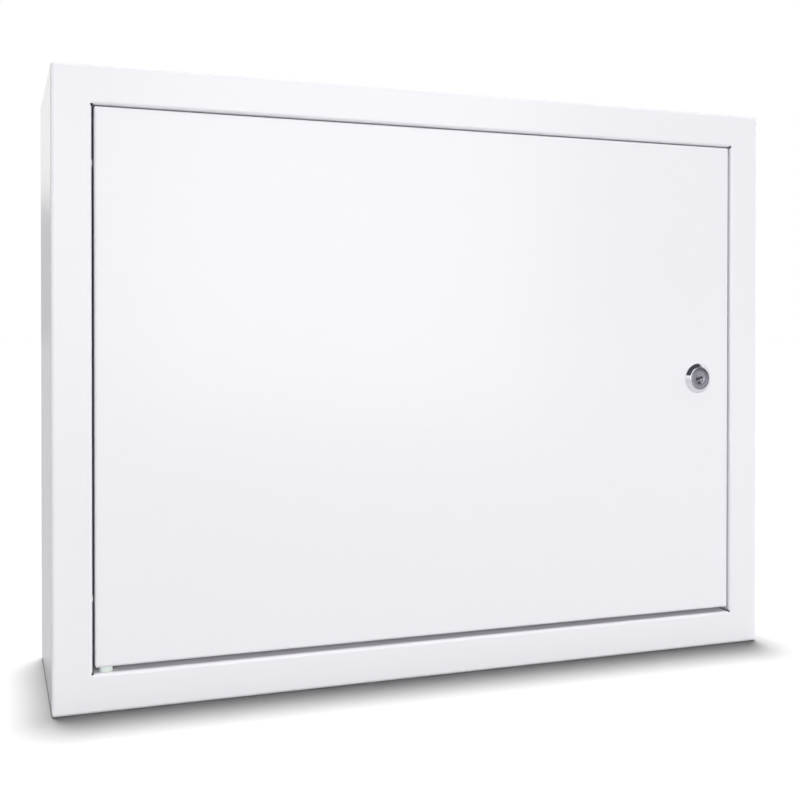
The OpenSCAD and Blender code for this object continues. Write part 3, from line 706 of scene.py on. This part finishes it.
def cam_screw():
    """A hexagon screw whose head has a dished top."""
    bm = bmesh.new()
    low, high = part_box("cam_screw")
    head = (high.y - screw_seat_y) / MM
    shank = (high.y - low.y) / MM - head
    across = 9
    rows = [(2.0, -shank), (2.4, -shank + 0.5)]
    rows += thread_rows(2.5, -shank + 0.5, 0, 0.8)
    rows += [(hexagon(across), 0), (hexagon(across), head - 0.55)]
    for k in range(4):
        depth = 0.54 - 0.18 * k
        rows.append((chamfered_hexagon(across, depth), head - 0.54 + 0.18 * k))
    dish = [(4.2, head), (2.7, head), (2.5, head - 0.6), (1.2, head - 0.6)]
    rows += eased(dish, 0.2, closed=False)
    around(bm, looking_back(lock_x, screw_seat_y, lock_z), rows, 72)
    return finish_piece("cam_hexagon_screw", "cam_screw", bm)


# ---- Hinge ----

clip_low, clip_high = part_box("upper_pivot_clip")
pivot_x = (clip_low.x + clip_high.x) / 2
pivot_y = (clip_low.y + clip_high.y) / 2
pin_r = 2.0
bush_bore_r = 2.06
bush_sleeve_r = 3.0
bush_collar_r = 4.2


def on_pivot(z):
    """A place on the door's pivot axis at this height, whose Z points up."""
    return looking_up(pivot_x, pivot_y, z)


def lower_pivot_pin():
    """A pin with a rounded rivet head below and a tapered tip."""
    bm = bmesh.new()
    low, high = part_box("lower_pivot_pin")
    height = (high.z - low.z) / MM
    corners = [(2.5, 0), (4.0, 0), (4.0, 1.8), (pin_r, 1.8), (pin_r, height - 1), (1.5, height),
               (0.8, height)]
    rows = eased(corners, [0, 0.9, 0.15, 0, 0.3, 0.3, 0], closed=False)
    around(bm, on_pivot(low.z), rows)
    return finish_piece("lower_pivot_rivet_pin", "lower_pivot_pin", bm)


def lower_pivot_bush():
    """The pale turning washer and its sleeve in the door."""
    bm = bmesh.new()
    low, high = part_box("lower_pivot_bush")
    collar = (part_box("door_panel")[0].z - low.z) / MM
    top = (high.z - low.z) / MM
    corners = [(bush_bore_r, 0), (bush_collar_r, 0), (bush_collar_r, collar),
               (bush_sleeve_r, collar), (bush_sleeve_r, top), (bush_bore_r, top)]
    rows = eased(corners, [0.2, 0.4, 0.3, 0, 0.3, 0.2])
    around(bm, on_pivot(low.z), rows, closed=True)
    return finish_piece("lower_pivot_collar_bush", "lower_pivot_bush", bm)


def upper_pivot_bush():
    """A bush with its collar on top."""
    bm = bmesh.new()
    low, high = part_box("upper_pivot_bush")
    top = (high.z - low.z) / MM
    under = top - 1.5
    corners = [(bush_bore_r, 0), (bush_sleeve_r, 0), (bush_sleeve_r, under),
               (bush_collar_r, under), (bush_collar_r, top), (bush_bore_r, top)]
    rows = eased(corners, [0.2, 0.2, 0, 0.3, 0.4, 0.2])
    around(bm, on_pivot(low.z), rows, closed=True)
    return finish_piece("upper_pivot_collar_bush", "upper_pivot_bush", bm)


def upper_pivot_pin():
    """One bent rod: the pin, and the finger arm at its lower end."""
    bm = bmesh.new()
    low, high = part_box("upper_pivot_pin")
    bend = 3.0
    top = (high.z - low.z) / MM - pin_r
    length = (high.x - pivot_x) / MM
    straight = [(0, 0, top), (0, 0, top - 0.6), (0, 0, bend)]
    elbow = [(bend - bend * math.cos(a), 0, bend - bend * math.sin(a))
             for a in (TURN / 4 * k / 10 for k in range(1, 11))]
    arm = [(length - 0.6, 0, 0), (length, 0, 0)]
    wire(bm, on_pivot(low.z + pin_r * MM), straight + elbow + arm, pin_r, 28)
    return finish_piece("upper_pivot_pull_pin", "upper_pivot_pin", bm)


def upper_pivot_clip():
    """An open ring that grips the pin."""
    bm = bmesh.new()
    outline = arc(3.4, 25, 335, 40) + arc(2.05, 330, 30, 40)
    thickness = (clip_high.z - clip_low.z) / MM
    pressed(bm, on_pivot(clip_low.z), outline, [], thickness, 0.1)
    return finish_piece("upper_pivot_ring_clip", "upper_pivot_clip", bm)


def upper_pivot_spring():
    """A compression spring with closed end turns, drawn at rest; the real one shortens as the pin is
    pulled down.
    """
    bm = bmesh.new()
    low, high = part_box("upper_pivot_spring")
    wire_d, turns, steps = 0.7, 9, 28
    coil = (high.x - low.x) / MM / 2 - wire_d / 2
    height = (high.z - low.z) / MM - wire_d
    closed_rise = 0.77
    path = []
    for i in range(turns * steps + 1):
        turn = i / steps
        if turn < 1:
            z = turn * closed_rise
        elif turn > turns - 1:
            z = height - (turns - turn) * closed_rise
        else:
            z = closed_rise + (turn - 1) * (height - 2 * closed_rise) / (turns - 2)
        path.append((coil * math.cos(TURN * turn), coil * math.sin(TURN * turn), z))
    wire(bm, on_pivot(low.z + wire_d / 2 * MM), path, wire_d / 2, 10)
    piece = finish_piece("upper_pivot_return_spring", "upper_pivot_spring", bm)
    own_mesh(piece)
    return piece


# ---- Back panel, mounting plate and earthing ----

def fasteners(node, name, draw, looking=looking_front):
    """Draws a fastener for each solid of a node, from its rear face or, looking back, its front
    face. draw is given the drawing, the place, and the solid's width and depth."""
    bm = bmesh.new()
    for a, b in solids(node):
        foot = b.y if looking is looking_front else a.y
        place = looking((a.x + b.x) / 2, foot, (a.z + b.z) / 2)
        draw(bm, place, (b.x - a.x) / MM, (b.y - a.y) / MM)
    return finish_piece(name, node, bm)


def small_stud(bm, place, width, depth):
    stud(bm, place, 4.0, depth, 0.7)


def large_stud(bm, place, width, depth):
    stud(bm, place, 6.0, depth, 1.0)


def sleeve(bm, place, width, depth):
    """A flat washer or a spacer."""
    ring(bm, place, 6.2, width, 0, depth)


def large_nut(bm, place, width, depth):
    nut(bm, place, 10.0, depth, 6.1)


def small_flange_nut(bm, place, width, depth):
    nut(bm, place, 7.0, 3.2, 4.1, flange_d=9.0, flange_t=0.9)


# ---- Rubber ----

def cable_grommets():
    """Each has a rounded brim, a groove for the wall and a thin ribbed membrane."""
    bm = bmesh.new()
    for a, b in solids("cable_grommets"):
        brim = (b.x - a.x) / 2 / MM
        overlap, clearance = 2.4, 0.05
        neck = brim - overlap - clearance
        wall = -1.2
        foot = wall - 2.2
        upper = [(0.6, -0.9), (2.4, -0.5), (3.0, -0.9), (4.4, -0.5), (5.0, -0.9), (6.2, -0.5),
                 (neck - 3.35, -0.5), (neck - 1.95, 2.0), (brim - 0.8, 2.0), (brim, 1.2), (brim, 0.0),
                 (neck, 0.0), (neck, wall)]
        lower = [(brim - 1.0, wall), (brim - 1.6, foot), (neck - 2.95, foot), (neck - 3.55, -1.5),
                 (0.6, -1.5)]
        place = looking_up((a.x + b.x) / 2, (a.y + b.y) / 2, b.z - 2.0 * MM)
        around(bm, place, eased(upper + lower, 0.4, closed=False), 72)
    return finish_piece("cable_entry_grommets", "cable_grommets", bm, 60)


def door_buffers():
    bm = bmesh.new()
    for a, b in solids("door_buffers"):
        w, h, t = (b.x - a.x) / MM, (b.z - a.z) / MM, (b.y - a.y) / MM
        corners = [(-w / 2, -h / 2), (w / 2, -h / 2), (w / 2, h / 2), (-w / 2, h / 2)]
        outline = eased(corners, 1.6, steps=6)
        place = looking_front((a.x + b.x) / 2, b.y, (a.z + b.z) / 2)
        pressed(bm, place, outline, [], t, 0.7)
    return finish_piece("door_rubber_buffers", "door_buffers", bm, 60)


lock_barrel()
lock_plug()
lock_washer()
lock_nut()
lock_stop_washer()
lock_cam()
cam_spring_washer()
cam_screw()
lower_pivot_pin()
lower_pivot_bush()
upper_pivot_bush()
upper_pivot_pin()
upper_pivot_clip()
upper_pivot_spring()
for node, name, draw, looking in (
        ("back_panel_studs", "back_panel_weld_studs", small_stud, looking_front),
        ("back_panel_nuts", "back_panel_flange_nuts", small_flange_nut, looking_front),
        ("plate_studs", "plate_threaded_studs", large_stud, looking_front),
        ("plate_spacers", "plate_spacer_sleeves", sleeve, looking_front),
        ("plate_washers", "plate_flat_washers", sleeve, looking_front),
        ("plate_nuts", "plate_hexagon_nuts", large_nut, looking_front),
        ("body_earth_stud", "body_earth_weld_stud", large_stud, looking_front),
        ("body_earth_washers", "body_earth_flat_washers", sleeve, looking_front),
        ("body_earth_nuts", "body_earth_hexagon_nuts", large_nut, looking_front),
        ("door_earth_stud", "door_earth_weld_stud", large_stud, looking_back),
        ("door_earth_washers", "door_earth_flat_washer", sleeve, looking_back),
        ("door_earth_nuts", "door_earth_hexagon_nut", large_nut, looking_back)):
    fasteners(node, name, draw, looking)
cable_grommets()
door_buffers()


# ---- Studio ----

def softbox(name, at, towards, size, level, mirrored=False, lean=0.0):
    """A large soft lamp of an even brightness, which lights the box and not the floor. A mirrored
    one also shows in gloss. lean turns it in its own plane, in degrees."""
    data = bpy.data.lights.new(name, "AREA")
    data.shape = "RECTANGLE"
    data.size, data.size_y = size
    data.energy = level * math.pi * size[0] * size[1]
    lamp = bpy.data.objects.new(name, data)
    aim = (Vector(towards) - Vector(at)).to_track_quat("-Z", "Y").to_matrix().to_4x4()
    lamp.matrix_world = Matrix.Translation(at) @ aim @ Matrix.Rotation(math.radians(lean), 4, "Z")
    lamp.visible_camera = False
    lamp.visible_glossy = mirrored
    scene.collection.objects.link(lamp)
    return lamp


def link_light(lamp, receiver, state):
    """Makes the lamp light only this receiver (INCLUDE) or everything but it (EXCLUDE)."""
    chosen = bpy.data.collections.new(lamp.name + "_receivers")
    chosen.objects.link(receiver)
    chosen.collection_objects[0].light_linking.link_state = state
    lamp.light_linking.receiver_collection = chosen


def to_the_eye(t, path):
    """1 for what the eye sees directly or through something clear, and otherwise 0."""
    return t.math("MAXIMUM", path["Is Camera Ray"], path["Is Transmission Ray"])


def floor_material():
    """A pale matt floor, white to the eye and grey in gloss, which throws little light back."""
    material = bpy.data.materials.new("pale_floor")
    material.use_nodes = True
    t = Tree(material.node_tree)
    shader = material.node_tree.nodes["Principled BSDF"]
    path = t.add("LightPath").outputs
    seen = to_the_eye(t, path)
    thrown = (0.06, 0.06, 0.06, 1)
    in_gloss = (0.29, 0.29, 0.295, 1)
    direct = (0.40, 0.40, 0.40, 1)
    unseen = t.mix(path["Is Glossy Ray"], thrown, in_gloss)
    t.feed(shader, "Base Color", t.mix(seen, unseen, direct))
    shader.inputs["Roughness"].default_value = 1.0
    shader.inputs["Specular IOR Level"].default_value = 0.0
    return material


def floor():
    size = 40
    z = cad_box[0].z
    mesh = bpy.data.meshes.new("floor")
    mesh.from_pydata([(x * size, y * size, z) for x, y in ((-1, -1), (1, -1), (1, 1), (-1, 1))],
                     [], [(0, 1, 2, 3)])
    plane = bpy.data.objects.new("floor", mesh)
    plane.data.materials.append(floor_material())
    scene.collection.objects.link(plane)
    return plane


def floor_lamp():
    """The overhead lamp that lights the floor and casts the box's soft shadow on it."""
    data = bpy.data.lights.new("floor_lamp", "SUN")
    data.energy = 7.6
    data.angle = math.radians(7.5)
    lamp = bpy.data.objects.new("floor_lamp", data)
    lamp.rotation_euler = (math.radians(-3.9), math.radians(0.7), 0)
    lamp.visible_glossy = False
    scene.collection.objects.link(lamp)
    return lamp


def gloss_room(t):
    """What gloss sees: a white room with a dark ceiling, a dim corner at the right in front, and a
    far wall that is grey low down and bright above."""
    ray = t.add("TexCoord").outputs["Generated"]
    x, y, z = t.add("SeparateXYZ", Vector=ray).outputs
    ceiling = t.math("MULTIPLY", t.map_range(z, 0.20, 0.30), t.map_range(y, 0.2, -0.1))
    ceiling = t.math("MULTIPLY", ceiling, t.map_range(x, 0.72, 0.55))
    corner = t.math("MULTIPLY", t.map_range(x, 0.10, 0.20), t.map_range(x, 0.92, 0.84))
    corner = t.math("MULTIPLY", corner, t.map_range(y, -0.05, -0.25))
    far_wall = t.map_range(y, 0.5, 0.7)
    wall_foot = t.math("MULTIPLY", far_wall, t.map_range(z, 0.15, 0.10))
    wall_top = t.math("MULTIPLY", far_wall, t.map_range(z, 0.10, 0.15))
    seen = (1, 1, 1, 1)
    for part, colour in ((corner, (0.20, 0.20, 0.22, 1)), (ceiling, (0.07, 0.07, 0.085, 1)),
                         (wall_foot, (0.62, 0.61, 0.62, 1)), (wall_top, (1.2, 1.2, 1.2, 1))):
        seen = t.mix(part, seen, colour)
    return seen


def world():
    """White to the eye, a room in gloss, and a dim dome for all other light."""
    made = bpy.data.worlds.new("studio")
    made.use_nodes = True
    tree = made.node_tree
    tree.nodes.clear()
    t = Tree(tree)
    path = t.add("LightPath").outputs
    room = t.add("Background", Color=gloss_room(t), Strength=1.0)
    white = t.add("Background", Color=(1, 1, 1, 1), Strength=1.0)
    dome = t.add("Background", Color=(0.97, 0.98, 1.0, 1), Strength=0.15)
    unseen = t.add("MixShader", Fac=path["Is Glossy Ray"])
    t.put(dome.outputs[0], unseen.inputs[1])
    t.put(room.outputs[0], unseen.inputs[2])
    final = t.add("MixShader", Fac=to_the_eye(t, path))
    t.put(unseen.outputs[0], final.inputs[1])
    t.put(white.outputs[0], final.inputs[2])
    t.put(final.outputs[0], t.add("OutputWorld").inputs["Surface"])
    scene.world = made


def camera():
    data = bpy.data.cameras.new("camera")
    data.lens = 47.57
    data.sensor_width = 36.0
    data.shift_x = 0.0729
    data.shift_y = -0.0694
    data.clip_start, data.clip_end = 0.01, 200.0
    eye = bpy.data.objects.new("camera", data)
    eye.location = (-0.2955, -0.7947, 0.0338)
    eye.rotation_euler = (math.radians(90 - 0.52), 0, math.radians(-18.44))
    scene.collection.objects.link(eye)
    scene.camera = eye


ground = floor()
camera()
world()
link_light(floor_lamp(), ground, "INCLUDE")
middle = (0, -0.1, 0)
for name, at, towards, size, level, *more in (
        ("key_softbox", (0.84, -2.53, 0.86), (0.84, 0, 0.86), (1.30, 2.12), 1.55, True, -5),
        ("front_softbox", (-0.3, -4.1, 0.3), middle, (5.0, 3.0), 3.45),
        ("left_softbox", (-1.3, 0.15, 0.85), (-0.26, -0.05, 0.15), (0.5, 0.5), 1.2),
        ("low_front_softbox", (0, -0.95, -0.12), (0, -0.13, -0.16), (1.6, 0.14), 1.5),
        ("left_fill", (-3.0, -0.6, 0.6), middle, (2.0, 1.6), 1.3),
        ("right_fill", (3.0, -0.2, 0.6), middle, (2.0, 1.6), 4.3),
        ("back_fill", (0.2, 3.5, 0.7), middle, (4.0, 2.0), 4.2),
        ("top_softbox", (0.0, 0.0, 3.0), middle, (2.4, 2.0), 2.6)):
    link_light(softbox(name, at, towards, size, level, *more), ground, "EXCLUDE")

scene.view_settings.view_transform = "Standard"
